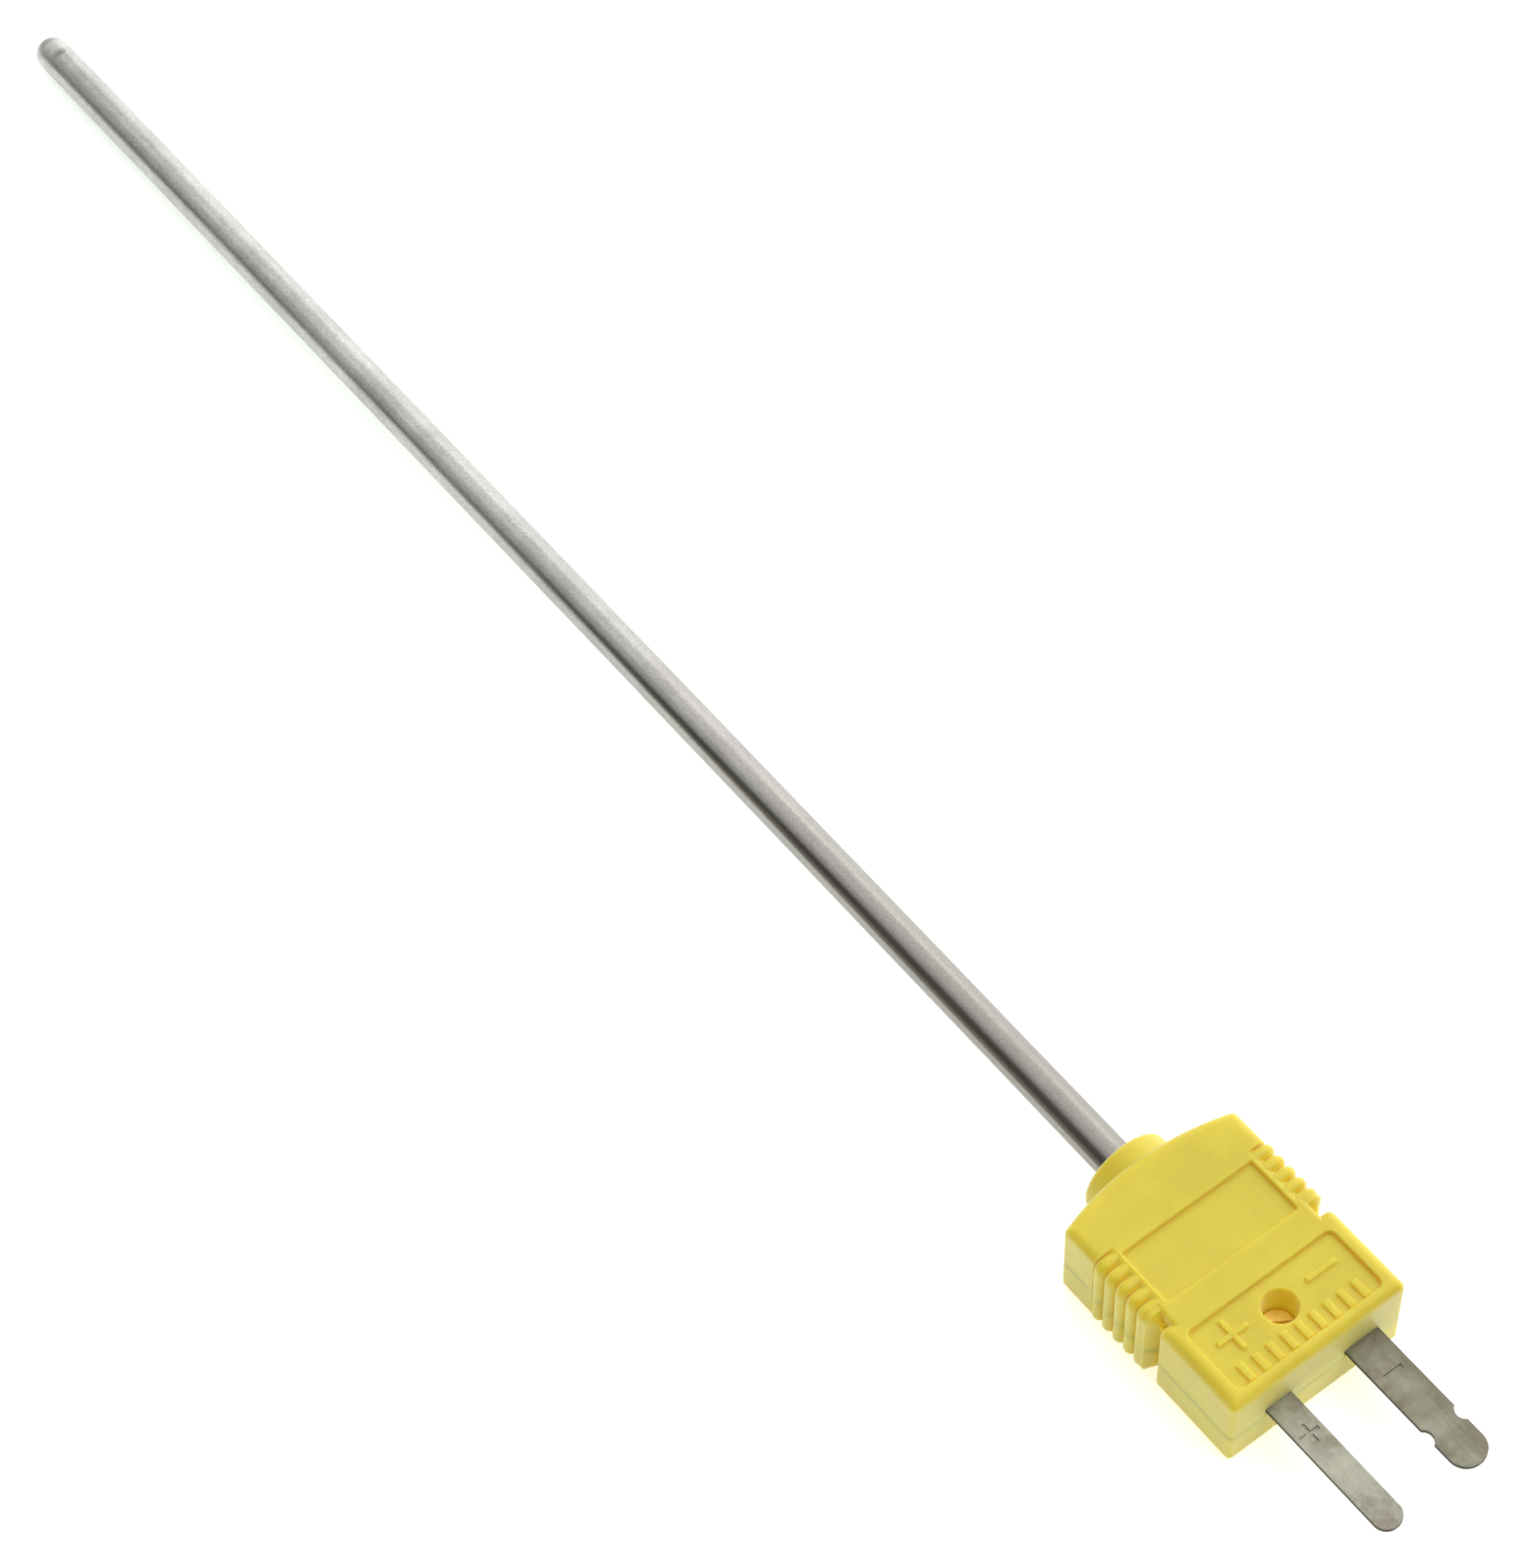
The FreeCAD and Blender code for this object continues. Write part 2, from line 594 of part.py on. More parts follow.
def add_blade_ridges(body):
    """The ridges on the lower shell that fill the slots from below and hold the blades."""
    for pole, side in POLES:
        middle = blade_line(side)
        half = f"({pole}_width / 2 - slot_gap)"
        sketch = new_sketch(body, pole.title() + "RidgePlan", "XY", "parting_level")
        draw_box(sketch, "terminal_room_end + slot_gap", "plug_front",
                 f"{middle} - {half}", f"{middle} + {half}")
        pad(sketch, pole.title() + "Ridge", "-blade_thickness / 2 - slot_gap - parting_level")


# ---------------------------------------------------------------------------------------------
# The marked face
# ---------------------------------------------------------------------------------------------

def is_in_recess(box, name):
    """Whether an edge's box lies within the outline of a recess."""
    start, end, half = (size(f"{name}_{part}") for part in ("start", "end", "half_width"))
    along = box.XMin > start - TOUCH and box.XMax < end + TOUCH
    return along and max(-box.YMin, box.YMax) < half + TOUCH


def cut_recesses(body):
    """The write-on recess and the nose recess, with rounded corners and softened rims."""
    top = size("plug_height / 2")
    for name in ("window", "face"):
        sketch = new_sketch(body, name.title() + "Plan", "XY", "plug_height / 2")
        draw_round_box(sketch, f"{name}_start", f"{name}_end", f"-{name}_half_width",
                       f"{name}_half_width", f"{name}_corner_round")
        pocket(sketch, name.title(), "recess_depth")
        round_edges(body, name.title() + "Rim", "rim_round",
                    lambda box: is_level(box, top) and is_in_recess(box, name))


def add_marks(body):
    """The raised plus and minus, and a row of plain bars nearer the front, with soft edges."""
    half, stroke = "mark_length / 2", "mark_stroke / 2"
    blocks = [
        ("PlusAcross", "mark_place", "-mark_offset", stroke, half),
        ("PlusAlong", "mark_place", "-mark_offset", half, stroke),
        ("Minus", "mark_place", "mark_offset", stroke, half)]
    for number in range(int(size("bar_count"))):
        across = f"({number} - (bar_count - 1) / 2) * bar_pitch"
        blocks.append((f"Bar{number + 1}", "bar_place", across, "bar_length / 2",
                       "bar_stroke / 2"))
    for name, along, across, half_length, half_width in blocks:
        sketch = new_sketch(body, name + "Plan", "XY", "plug_height / 2 - recess_depth")
        draw_box(sketch, f"{along} - {half_length}", f"{along} + {half_length}",
                 f"{across} - {half_width}", f"{across} + {half_width}")
        pad(sketch, name, "mark_height")
    crest = size("plug_height / 2 - recess_depth + mark_height")
    round_edges(body, "MarkEdges", "mark_edge_round", lambda box: is_level(box, crest))


# ---------------------------------------------------------------------------------------------
# The shells
# ---------------------------------------------------------------------------------------------

def make_upper_shell():
    """The marked half of the plug, with the screw well and the blades' slots."""
    body = new_body("upper_shell")
    outer_form(body)
    keep_half(body, upper=True)
    cut_recesses(body)
    add_marks(body)
    cut_screw_well(body)
    cut_probe_seat(body)
    cut_wire_room(body)
    cut_terminal_rooms(body, "blade_thickness / 2 + slot_gap", "parting_level - overrun")
    for pole, side in POLES:
        cut_well(body, pole.title() + "ShankRoom", "terminal_place", blade_line(side),
                 "shank_room_radius", "shank_room_top", "0")
    cut_blade_slots(body)
    return body


def make_lower_shell():
    """The plain half of the plug, with the insert's hole and the ridges under the blades."""
    body = new_body("lower_shell")
    outer_form(body)
    keep_half(body, upper=False)
    cut_well(body, "InsertHole", "well_place", "0", "insert_radius",
             "parting_level + overrun", "insert_bottom")
    cut_probe_seat(body)
    cut_wire_room(body)
    cut_terminal_rooms(body, "parting_level + overrun", "terminal_room_floor")
    add_blade_ridges(body)
    return body


# ---------------------------------------------------------------------------------------------
# Screws, insert and washers, each turned about its own Z axis and then placed
# ---------------------------------------------------------------------------------------------

def place(body, across, up, level="0", turn=None):
    """Bind a body's place, and the angle about Z if it has one."""
    for axis, text in (("x", across), ("y", up), ("z", level)):
        bind(body, f"Placement.Base.{axis}", text)
    if turn:
        bind(body, "Placement.Rotation.Angle", turn)


def turned_part(label, *corners):
    """A body turned about Z from half of its section, given as (radius, level) corners."""
    body = new_body(label)
    sketch = new_sketch(body, "Section", "XZ")
    draw_outline(sketch, *corners)
    revolve(sketch, "Turned", "V_Axis")
    doc.recompute()
    return body


def make_cover_screw():
    """Cheese-head screw at the bottom of the well, slotted for a small screwdriver."""
    edge = "cover_head_round"
    body = turned_part(
        "cover_screw",
        ("0", "cover_shank_end"),
        ("cover_shank_radius - screw_chamfer", "cover_shank_end"),
        ("cover_shank_radius", "cover_shank_end + screw_chamfer"),
        ("cover_shank_radius", "cover_head_seat"),
        ("cover_head_radius", "cover_head_seat"),
        ("cover_head_radius", f"cover_head_top - {edge}"),
        (f"cover_head_radius - {edge}", "cover_head_top", edge, 1),
        ("0", "cover_head_top"))
    sketch = new_sketch(body, "SlotPlan", "XY", "cover_head_top")
    draw_box(sketch, "-cover_head_radius", "cover_head_radius",
             "-cover_slot_width / 2", "cover_slot_width / 2")
    pocket(sketch, "Slot", "cover_slot_depth")
    place(body, "well_place", "0", turn="cover_slot_turn")
    return body


def make_threaded_insert():
    """Brass insert with a groove round it that the plastic grips."""
    middle = "(insert_top + insert_bottom) / 2"
    bore = "cover_shank_radius + thread_gap"
    body = turned_part(
        "threaded_insert",
        (bore, "insert_bottom"),
        ("insert_radius", "insert_bottom"),
        ("insert_radius", f"{middle} - insert_groove"),
        ("insert_radius - insert_groove", middle),
        ("insert_radius", f"{middle} + insert_groove"),
        ("insert_radius", "insert_top"),
        (bore, "insert_top"))
    place(body, "well_place", "0")
    return body


def make_terminal_screw(pole, side):
    """Slotted screw that passes up through the washer into the blade's tapped pad."""
    seat = "(washer_top - washer_thickness)"
    low = f"({seat} - terminal_head_height)"
    edge = "terminal_head_round"
    body = turned_part(
        pole + "_terminal_screw",
        ("0", low),
        (f"terminal_head_radius - {edge}", low),
        ("terminal_head_radius", f"{low} + {edge}", edge, 1),
        ("terminal_head_radius", seat),
        ("terminal_shank_radius", seat),
        ("terminal_shank_radius", "terminal_shank_top - screw_chamfer"),
        ("terminal_shank_radius - screw_chamfer", "terminal_shank_top"),
        ("0", "terminal_shank_top"))
    sketch = new_sketch(body, "SlotPlan", "XY", f"{low} + terminal_slot_depth")
    draw_box(sketch, "-terminal_head_radius", "terminal_head_radius",
             "-terminal_slot_width / 2", "terminal_slot_width / 2")
    pocket(sketch, "Slot", "terminal_slot_depth")
    place(body, "terminal_place", blade_line(side))
    return body


def make_washer(pole, side):
    """Flat washer that presses the wire against the blade."""
    low = "washer_top - washer_thickness"
    body = turned_part(
        pole + "_washer",
        ("washer_bore", low),
        ("washer_radius", low),
        ("washer_radius", "washer_top"),
        ("washer_bore", "washer_top"))
    place(body, "terminal_place", blade_line(side))
    return body


# ---------------------------------------------------------------------------------------------
# The blades
# ---------------------------------------------------------------------------------------------

def draw_blade(sketch, pole):
    """A blade in plan: a wide terminal pad, a narrower tongue, and a rounded end."""
    tip = "plug_front + blade_reach"
    tongue, terminal = f"({pole}_width / 2)", "(pad_width / 2)"
    curve = f"{pole}_tip_round"
    draw_outline(
        sketch,
        ("pad_start", f"-{terminal}"),
        ("pad_end", f"-{terminal}"),
        ("pad_end", f"-{tongue}"),
        (f"{tip} - {curve}", f"-{tongue}"),
        (tip, f"-{tongue} + {curve}", curve, 1),
        (tip, f"{tongue} - {curve}"),
        (f"{tip} - {curve}", tongue, curve, 1),
        ("pad_end", tongue),
        ("pad_end", terminal),
        ("pad_start", terminal))


def cut_notches(body):
    """The wide blade's two half-round notches."""
    sketch = new_sketch(body, "NotchPlan", "XY")
    for side in ("", "-"):
        draw_circle(sketch, "plug_front + notch_place",
                    f"{side}(negative_width / 2 - notch_depth + notch_radius)", "notch_radius")
    pocket(sketch, "Notches", "blade_thickness * 2", symmetric=True)


def stamp_mark(body, pole):
    """The polarity mark pressed into the blade's upper face."""
    strokes = [("Across", "stamp_stroke / 2", "stamp_length / 2")]
    if pole == "positive":
        strokes.append(("Along", "stamp_length / 2", "stamp_stroke / 2"))
    for name, half_length, half_width in strokes:
        sketch = new_sketch(body, f"Stamp{name}Plan", "XY", "blade_thickness / 2")
        draw_box(sketch, f"stamp_place - {half_length}", f"stamp_place + {half_length}",
                 f"-{half_width}", half_width)
        pocket(sketch, f"Stamp{name}", "stamp_depth")


def make_blade(pole, side):
    """One flat blade, with its terminal pad tapped for the terminal screw."""
    body = new_body(pole + "_blade")
    sketch = new_sketch(body, "Plan", "XY")
    draw_blade(sketch, pole)
    pad(sketch, "Strip", "blade_thickness", symmetric=True)
    hole = new_sketch(body, "TappedHolePlan", "XY")
    draw_circle(hole, "terminal_place", "0", "terminal_shank_radius + thread_gap")
    pocket(hole, "TappedHole", "blade_thickness * 2", symmetric=True)
    if pole == "negative":
        cut_notches(body)
    stamp_mark(body, pole)
    place(body, "0", blade_line(side))
    return body


# ---------------------------------------------------------------------------------------------
# The probe
# ---------------------------------------------------------------------------------------------

def turned_about_probe(label, *corners):
    """A body turned about the probe's axis from (along, radius) corners."""
    body = new_body(label)
    sketch = new_sketch(body, "Section", "XY")
    draw_outline(sketch, *corners)
    revolve(sketch, "Turned", "H_Axis")
    doc.recompute()
    return body


def make_sheath():
    """Metal tube with a closed hemispherical tip, turned down where the plug holds it."""
    return turned_about_probe(
        "sheath",
        ("-probe_length + tip_wall", "0"),
        ("-probe_length + tip_wall + sheath_bore", "sheath_bore", "sheath_bore", -1),
        ("sheath_end", "sheath_bore"),
        ("sheath_end", "seat_radius"),
        ("-shoulder_gap", "seat_radius"),
        ("-shoulder_gap", "probe_radius"),
        ("-probe_length + probe_radius", "probe_radius"),
        ("-probe_length", "0", "probe_radius", 1))


def make_mineral_insulation():
    """Packed core, with a bore for each wire and a pocket for the junction."""
    radius = "(sheath_bore - core_gap)"
    body = turned_about_probe(
        "mineral_insulation",
        ("-probe_length + tip_wall + core_gap", "0"),
        (f"-probe_length + tip_wall + core_gap + {radius}", radius, radius, -1),
        ("core_end", radius),
        ("core_end", "0"))
    bead_face = "-probe_length + bead_setback"
    hollow = new_sketch(body, "JunctionPlan", "YZ", bead_face)
    draw_circle(hollow, "0", "0", "bead_radius + core_gap")
    pocket(hollow, "JunctionPocket", "bead_length + core_gap")
    bores = new_sketch(body, "BorePlan", "YZ", "core_end")
    for side in ("", "-"):
        draw_circle(bores, f"{side}wire_offset", "0", "wire_radius + core_gap")
    pocket(bores, "WireBores", f"core_end - ({bead_face})")
    return body


def make_measuring_junction():
    """Weld bead with a flat rear face, where the wires meet, and a rounded front."""
    rear = "(-probe_length + bead_setback)"
    front = f"({rear} - bead_length)"
    edge = "(bead_length / 2)"
    return turned_about_probe(
        "measuring_junction",
        (front, "0"),
        (front, f"bead_radius - {edge}"),
        (f"{front} + {edge}", "bead_radius", edge, -1),
        (rear, "bead_radius"),
        (rear, "0"))


def make_end_seal():
    """Epoxy that fills the mouth of the sheath and stands a little out of it."""
    radius = "(sheath_bore - core_gap)"
    body = turned_about_probe(
        "end_seal",
        ("core_end", "0"),
        ("core_end", radius),
        ("seal_end - seal_round", radius),
        ("seal_end", f"{radius} - seal_round", "seal_round", -1),
        ("seal_end", "0"))
    bores = new_sketch(body, "BorePlan", "YZ", "seal_end")
    for side in ("", "-"):
        draw_circle(bores, f"{side}wire_offset", "0", "wire_radius + core_gap")
    pocket(bores, "WireBores", "seal_end - core_end")
    return body


def make_crimp_sleeve():
    """Brass sleeve swaged on the sheath; its waist shows where the tool gripped."""
    middle = "(sleeve_start + sleeve_end) / 2"
    bore = "seat_radius + core_gap"
    return turned_about_probe(
        "crimp_sleeve",
        ("sleeve_start", bore),
        ("sleeve_start", "sleeve_radius"),
        (f"{middle} - waist_reach", "sleeve_radius"),
        (middle, "sleeve_radius - sleeve_waist"),
        (f"{middle} + waist_reach", "sleeve_radius"),
        ("sleeve_end", "sleeve_radius"),
        ("sleeve_end", bore))


# ---------------------------------------------------------------------------------------------
# The wires, which run in three dimensions and so are swept in code
# ---------------------------------------------------------------------------------------------

def wire_corners(side):
    """The corners of a wire's route: along the probe, across the room, and beside the screw."""
    sign = -1 if side else 1
    clear = size("terminal_shank_radius + wire_radius + thread_gap")
    beside = size(blade_line(side)) - sign * clear
    under = size("-blade_thickness / 2 - wire_radius")
    return [
        FreeCAD.Vector(size("-probe_length + bead_setback"), sign * size("wire_offset"), 0),
        FreeCAD.Vector(size("seal_end + wire_lead"), sign * size("wire_offset"), 0),
        FreeCAD.Vector(size("terminal_place - washer_radius + wire_lead"), beside, under),
        FreeCAD.Vector(size("wire_stop"), beside, under)]


def bent_route(corners, radius):
    """Straight runs through the corners, joined by arcs that are tangent to them."""
    edges = []
    start = corners[0]
    for before, corner, after in zip(corners, corners[1:], corners[2:]):
        back = (before - corner).normalize()
        ahead = (after - corner).normalize()
        half_turn = (math.pi - back.getAngle(ahead)) / 2
        reach = radius * math.tan(half_turn)
        towards = (back + ahead).normalize()
        middle = corner + towards * (radius / math.cos(half_turn) - radius)
        first, last = corner + back * reach, corner + ahead * reach
        edges.append(Part.LineSegment(start, first).toShape())
        edges.append(Part.Arc(first, middle, last).toShape())
        start = last
    edges.append(Part.LineSegment(start, corners[-1]).toShape())
    return Part.Wire(edges)


def swept_rod(route, radius):
    """A round rod along a route."""
    start = route.Edges[0].Vertexes[0].Point
    ahead = route.Edges[0].tangentAt(route.Edges[0].FirstParameter)
    ring = Part.Wire(Part.makeCircle(radius, start, ahead))
    return route.makePipeShell([ring], True, False)


def new_shape(label, shape):
    """A sub-part whose shape is made in code."""
    feature = doc.addObject("Part::Feature", label)
    feature.Label = label
    feature.Shape = shape
    feature.Placement = FreeCAD.Placement()
    return feature


def make_wire(pole, side):
    """One alloy wire, from the junction to its terminal."""
    route = bent_route(wire_corners(side), size("bend_radius"))
    return new_shape(pole + "_wire", swept_rod(route, size("wire_radius")))


def make_sleeving(pole, side):
    """Insulating sleeve on the slanting run of a wire."""
    _, inner, outer, _ = wire_corners(side)
    along = (outer - inner).normalize()
    start = (inner + outer) / 2 - along * size("sleeving_length / 2")
    outside = Part.makeCylinder(size("sleeving_radius"), size("sleeving_length"), start, along)
    inside = Part.makeCylinder(size("sleeving_bore"), size("sleeving_length"), start, along)
    return new_shape(pole + "_sleeving", outside.cut(inside))


# ---------------------------------------------------------------------------------------------
# Build, check and write
# ---------------------------------------------------------------------------------------------

def check_document(parts):
    """Stop if any feature failed or any sub-part isn't one sound closed solid."""
    for item in doc.Objects:
        if "Invalid" in item.State or "Error" in item.State:
            raise RuntimeError(f"{item.Label} is in state {item.State}")
    for part in parts:
        shape = part.Shape
        if shape.isNull() or not shape.isValid() or len(shape.Solids) != 1:
            raise RuntimeError(f"{part.Label} is not one valid solid")


def write_parts(parts):
    """Write one STEP file for each sub-part, named by its label."""
    os.makedirs("parts", exist_ok=True)
    for part in parts:
        part.Shape.exportStep(os.path.join("parts", part.Label + ".step"))


def main():
    """Make every sub-part, check the document, and write one STEP file for each."""
    fill_sheet()
    parts = [
        make_upper_shell(),
        make_lower_shell(),
        make_cover_screw(),
        make_threaded_insert(),
        make_sheath(),
        make_mineral_insulation(),
        make_measuring_junction(),
        make_end_seal(),
        make_crimp_sleeve()]
    for pole, side in POLES:
        parts.append(make_blade(pole, side))
        parts.append(make_terminal_screw(pole, side))
        parts.append(make_washer(pole, side))
        parts.append(make_wire(pole, side))
        parts.append(make_sleeving(pole, side))
    doc.recompute()
    check_document(parts)
    write_parts(parts)


main()
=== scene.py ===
"""Looks of a quick-disconnect thermocouple probe: its camera, light and materials.

Everything is in metres in the CAD model's frame: the probe points to -X, the plug's blades to +X,
and +Z is out of the plug's marked face.
"""
import math

import bpy
from mathutils import Matrix, Vector


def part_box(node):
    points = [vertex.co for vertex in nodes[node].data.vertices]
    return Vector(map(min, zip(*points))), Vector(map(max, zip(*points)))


MM = 0.001

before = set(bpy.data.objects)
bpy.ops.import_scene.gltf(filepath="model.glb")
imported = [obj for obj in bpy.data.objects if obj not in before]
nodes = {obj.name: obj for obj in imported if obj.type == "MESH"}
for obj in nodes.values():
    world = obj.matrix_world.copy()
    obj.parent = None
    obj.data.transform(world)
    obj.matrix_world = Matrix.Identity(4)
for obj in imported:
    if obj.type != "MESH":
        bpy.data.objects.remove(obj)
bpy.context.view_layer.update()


# ---------------------------------------------------------------------------------------------
# Camera, floor and light
# ---------------------------------------------------------------------------------------------

CAMERA_PLACE = Vector((115.0, -109.3, 269.0)) * MM
CAMERA_AZIMUTH = 55.43
CAMERA_ELEVATION = 54.23
CAMERA_ROLL = -3.5
CAMERA_LENS = 95.85
CAMERA_SENSOR = 36.0


def heading(azimuth, elevation):
    """The direction a camera looks in: azimuth 0 is along +Y, 90 along -X."""
    turn, tilt = math.radians(azimuth), math.radians(elevation)
    flat = math.cos(tilt)
    return Vector((-math.sin(turn) * flat, math.cos(turn) * flat, -math.sin(tilt)))


def add_camera():
    """The photograph's viewpoint: a long lens above and in front of the plug."""
    data = bpy.data.cameras.new("camera")
    data.lens = CAMERA_LENS
    data.sensor_width = CAMERA_SENSOR
    data.sensor_fit = "AUTO"
    data.clip_start = 0.01
    data.clip_end = 20.0
    camera = bpy.data.objects.new("camera", data)
    bpy.context.scene.collection.objects.link(camera)
    level = heading(CAMERA_AZIMUTH, CAMERA_ELEVATION).to_track_quat("-Z", "Y").to_matrix()
    rolled = level @ Matrix.Rotation(math.radians(CAMERA_ROLL), 3, "Z")
    camera.matrix_world = Matrix.Translation(CAMERA_PLACE) @ rolled.to_4x4()
    bpy.context.scene.camera = camera


# each soft box: its place, its length across the line of sight, its width, and its radiance
SOFT_BOXES = {
    "window": (Vector((-0.34, 0.87, 0.36)), 1.4, 0.92, 1.75),
    "ceiling": (Vector((-0.34, 0.25, 0.94)), 1.4, 1.2, 1.15),
    "fill": (Vector((-0.50, -0.64, 0.69)), 1.4, 0.75, 0.6),
    "front": (Vector((0.38, 0.30, 0.90)), 1.0, 1.0, 1.8),
}
LIGHT_TARGET = Vector((-0.06, 0.0, 0.0))
SURROUND_COLOUR = (0.95, 1.0, 0.97, 1.0)
SURROUND_STRENGTH = 0.12


def add_soft_box(name, place, length, width, radiance):
    """An evenly bright rectangle turned towards the object."""
    data = bpy.data.lights.new(name, "AREA")
    data.shape = "RECTANGLE"
    data.size = length
    data.size_y = width
    data.energy = radiance * math.pi * length * width
    light = bpy.data.objects.new(name, data)
    bpy.context.scene.collection.objects.link(light)
    aim = (LIGHT_TARGET - place).to_track_quat("-Z", "Y").to_matrix()
    light.matrix_world = Matrix.Translation(place) @ aim.to_4x4()


def add_lights():
    """Soft boxes beyond the object, above it and beside it, and a dim even surround."""
    for name, (place, length, width, radiance) in SOFT_BOXES.items():
        add_soft_box(name, place, length, width, radiance)
    world = bpy.data.worlds.new("surround")
    bpy.context.scene.world = world
    world.use_nodes = True
    backdrop = world.node_tree.nodes["Background"]
    backdrop.inputs["Color"].default_value = SURROUND_COLOUR
    backdrop.inputs["Strength"].default_value = SURROUND_STRENGTH


# ---------------------------------------------------------------------------------------------
# Node trees
# ---------------------------------------------------------------------------------------------

class Look:
    """A material under construction. Its methods add nodes and return their output sockets."""

    def __init__(self, name, **shader_values):
        self.material = bpy.data.materials.new(name)
        self.material.use_nodes = True
        self.tree = self.material.node_tree
        self.shader = self.tree.nodes["Principled BSDF"]
        for socket, value in shader_values.items():
            self.shader.inputs[socket.replace("_", " ")].default_value = value
        self.place = self.tree.nodes.new("ShaderNodeTexCoord").outputs["Object"]

    def add(self, kind, output, inputs, **settings):
        """Add a node, feed its inputs by name or number, and return one of its outputs."""
        node = self.tree.nodes.new(kind)
        for key, value in settings.items():
            setattr(node, key, value)
        for key, value in inputs.items():
            if isinstance(value, bpy.types.NodeSocket):
                self.tree.links.new(value, node.inputs[key])
            else:
                node.inputs[key].default_value = value
        return node.outputs[output]

    def stretched(self, x, y, z):
        """Object coordinates scaled differently along each axis."""
        inputs = {0: self.place, 1: (x, y, z)}
        return self.add("ShaderNodeVectorMath", "Vector", inputs, operation="MULTIPLY")

    def noise(self, scale, detail=3.0, roughness=0.55, where=None):
        """Fractal noise, with features about 1 / scale metres across."""
        inputs = {"Vector": where or self.place, "Scale": scale, "Detail": detail,
                  "Roughness": roughness}
        return self.add("ShaderNodeTexNoise", "Fac", inputs)

    def level(self, value, low, high, to_low=0.0, to_high=1.0):
        """Spread a range of values over another, clamped and eased."""
        inputs = {"Value": value, "From Min": low, "From Max": high,
                  "To Min": to_low, "To Max": to_high}
        return self.add("ShaderNodeMapRange", "Result", inputs, interpolation_type="SMOOTHSTEP")

    def math(self, operation, first, second=0.0, third=0.0):
        """One arithmetic step."""
        inputs = {0: first, 1: second, 2: third}
        return self.add("ShaderNodeMath", "Value", inputs, operation=operation)

    def blend(self, factor, first, second, mode="MIX"):
        """Mix two colours."""
        inputs = {0: factor, 6: first, 7: second}
        return self.add("ShaderNodeMix", 2, inputs, data_type="RGBA", blend_type=mode)

    def axis(self, name):
        """One coordinate of the place."""
        return self.add("ShaderNodeSeparateXYZ", name, {0: self.place})

    def facing(self, name):
        """How far the surface faces along one axis, either way: 1 square on, 0 edge on."""
        normal = self.place.node.outputs["Normal"]
        part = self.add("ShaderNodeSeparateXYZ", name, {0: normal})
        return self.math("ABSOLUTE", part)

    def inside(self, low, high):
        """1 between two opposite corners of an upright box, and 0 outside it."""
        masks = []
        for name, start, end in zip("XYZ", low, high):
            place = self.axis(name)
            masks.append(self.math("GREATER_THAN", place, start))
            masks.append(self.math("LESS_THAN", place, end))
        whole = masks[0]
        for mask in masks[1:]:
            whole = self.math("MULTIPLY", whole, mask)
        return whole

    def near(self, place, reach):
        """1 at a place, fading to 0 at its own reach along each axis."""
        inputs = {0: self.place, 1: place}
        offset = self.add("ShaderNodeVectorMath", "Vector", inputs, operation="SUBTRACT")
        inputs = {0: offset, 1: reach}
        share = self.add("ShaderNodeVectorMath", "Vector", inputs, operation="DIVIDE")
        distance = self.add("ShaderNodeVectorMath", "Value", {0: share}, operation="LENGTH")
        return self.level(distance, 0.0, 1.0, 1.0, 0.0)

    def colour(self, socket):
        """Set the shader's colour."""
        self.tree.links.new(socket, self.shader.inputs["Base Color"])

    def glow(self, strength, colour):
        """Light that comes out of the material."""
        self.tree.links.new(strength, self.shader.inputs["Emission Strength"])
        self.shader.inputs["Emission Color"].default_value = colour

    def roughness(self, socket):
        """Set the shader's roughness."""
        self.tree.links.new(socket, self.shader.inputs["Roughness"])

    def bump(self, *layers):
        """Stack bump layers, each a (height, depth in metres) pair."""
        normal = None
        for height, depth in layers:
            inputs = {"Height": height, "Distance": depth, "Strength": 1.0}
            if normal:
                inputs["Normal"] = normal
            normal = self.add("ShaderNodeBump", "Normal", inputs)
        self.tree.links.new(normal, self.shader.inputs["Normal"])


# ---------------------------------------------------------------------------------------------
# Materials
# ---------------------------------------------------------------------------------------------

# boxes round two features of the plug's marked face, each by two opposite corners
LABEL_WINDOW = ((0.0071, -0.0062, 0.0036), (0.0122, 0.0062, 0.0039))
SCREW_WELL = ((0.0158, -0.0015, 0.0), (0.0188, 0.0015, 0.0036))
CORNER_REACH = 0.0012

# places on the sheath: along it from the tip's end to the plug, and round it
TIP_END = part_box("sheath")[0][0]
TIP_SHOULDER = TIP_END + 0.0044
DARKENING_FROM = -0.11
DARKENING_TO = 0.0
# a painted dark reflection along the sheath, low on one side
PAINTED_REFLECTION_PLACE = (0.0, -0.0012, 0.00095)
PAINTED_REFLECTION_REACH = (0.11, 0.0007, 0.0007)
CREASE_PLACE = (-0.1494, -0.0002, 0.0015)
CREASE_REACH = (0.0007, 0.001, 0.001)

BLADE_BEVEL = 0.00012


def rgb(red, green, blue):
    """An opaque colour."""
    return (red, green, blue, 1.0)


CORNER_COLOUR = rgb(0.80, 0.60, 0.012)
CORNER_GLOW = rgb(1.0, 0.68, 0.0)


